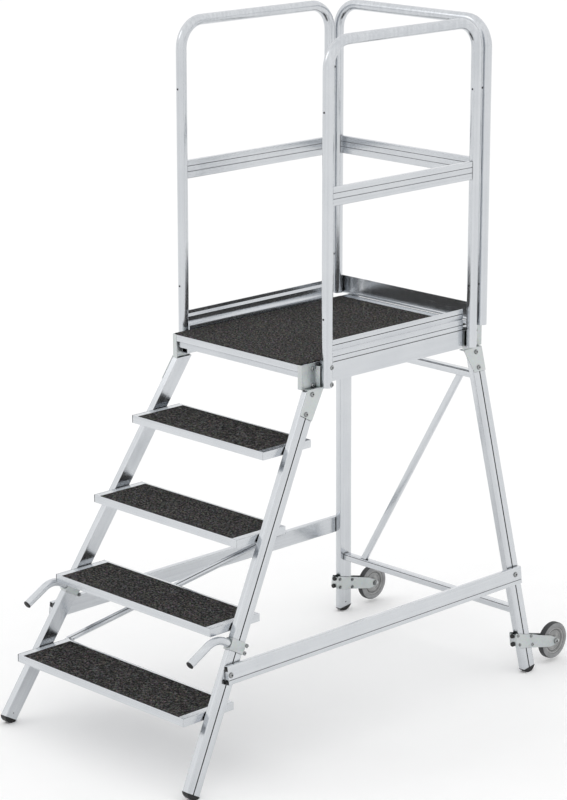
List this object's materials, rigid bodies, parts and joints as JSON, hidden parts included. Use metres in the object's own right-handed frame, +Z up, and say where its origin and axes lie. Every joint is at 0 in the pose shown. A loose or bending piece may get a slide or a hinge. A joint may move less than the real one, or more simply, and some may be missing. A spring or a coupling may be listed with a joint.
{
  "type": "rolling warehouse ladder",
  "caption": "Aluminium platform ladder with grip steps, a guarded standing platform, lift handles and rear tilt-and-roll wheels.",
  "frame": {"origin": "on the floor, under the middle of the ladder's length and width", "axes": "+X to the climber's right, +Y from the steps towards the wheels, +Z up"},
  "size_m": [0.8908, 1.755, 2.198],
  "materials": {
    "aluminium": "plain drawn aluminium extrusions with a satin sheen",
    "zinc_plate": "matt zinc plating on pressed steel",
    "grit_mat": "rough charcoal anti-slip mat with mineral grit",
    "black_rubber": "moulded black rubber",
    "grey_tyre": "dark grey solid rubber tread",
    "grey_plastic": "mid grey moulded plastic",
    "bush_plastic": "natural bearing plastic",
    "bright_steel": "bright zinc-plated bolt"
  },
  "bodies": {
    "frame": {"brace_plug_L": "black_rubber", "brace_plug_R": "black_rubber", "corner_plate_FL": "zinc_plate", "corner_plate_FR": "zinc_plate", "corner_plate_RL": "zinc_plate", "corner_plate_RR": "zinc_plate", "front_beam": "aluminium", "front_diagonal_brace": "aluminium", "front_foot_L": "black_rubber", "front_foot_R": "black_rubber", "front_stile_L": "aluminium", "front_stile_R": "aluminium", "guard_hoop_L": "aluminium", "guard_hoop_R": "aluminium", "guard_hoop_back": "aluminium", "handle_bracket_L": "zinc_plate", "handle_bracket_R": "zinc_plate", "handle_plug_L": "black_rubber", "handle_plug_R": "black_rubber", "handle_tube_L": "aluminium", "handle_tube_R": "aluminium", "knee_rail_L": "aluminium", "knee_rail_R": "aluminium", "knee_rail_back": "aluminium", "platform_deck": "aluminium", "platform_mat": "grit_mat", "rear_beam": "aluminium", "rear_cross_bar_lower": "aluminium", "rear_cross_bar_upper": "aluminium", "rear_diagonal_brace": "aluminium", "rear_foot_L": "black_rubber", "rear_foot_R": "black_rubber", "rear_leg_L": "aluminium", "rear_leg_R": "aluminium", "side_beam_L": "aluminium", "side_beam_R": "aluminium", "side_brace_L": "aluminium", "side_brace_R": "aluminium", "step_mat_1": "grit_mat", "step_mat_2": "grit_mat", "step_mat_3": "grit_mat", "step_mat_4": "grit_mat", "step_tray_1": "aluminium", "step_tray_2": "aluminium", "step_tray_3": "aluminium", "step_tray_4": "aluminium", "toe_board_L": "aluminium", "toe_board_R": "aluminium", "toe_board_back": "aluminium", "wheel_axle_L": "bright_steel", "wheel_axle_R": "bright_steel", "wheel_bracket_L": "zinc_plate", "wheel_bracket_R": "zinc_plate"},
    "wheel_L": {"wheel_bush_L": "bush_plastic", "wheel_hub_L": "grey_plastic", "wheel_tyre_L": "grey_tyre"},
    "wheel_R": {"wheel_bush_R": "bush_plastic", "wheel_hub_R": "grey_plastic", "wheel_tyre_R": "grey_tyre"}
  },
  "joints": [
    {"name": "wheel_spin_L", "type": "hinge", "parent": "frame", "child": "wheel_L", "pos_m": [-0.42161, 0.81489, 0.072], "axis": [1, 0, 0], "continuous": true},
    {"name": "wheel_spin_R", "type": "hinge", "parent": "frame", "child": "wheel_R", "pos_m": [0.42161, 0.81489, 0.072], "axis": [1, 0, 0], "continuous": true}
  ]
}
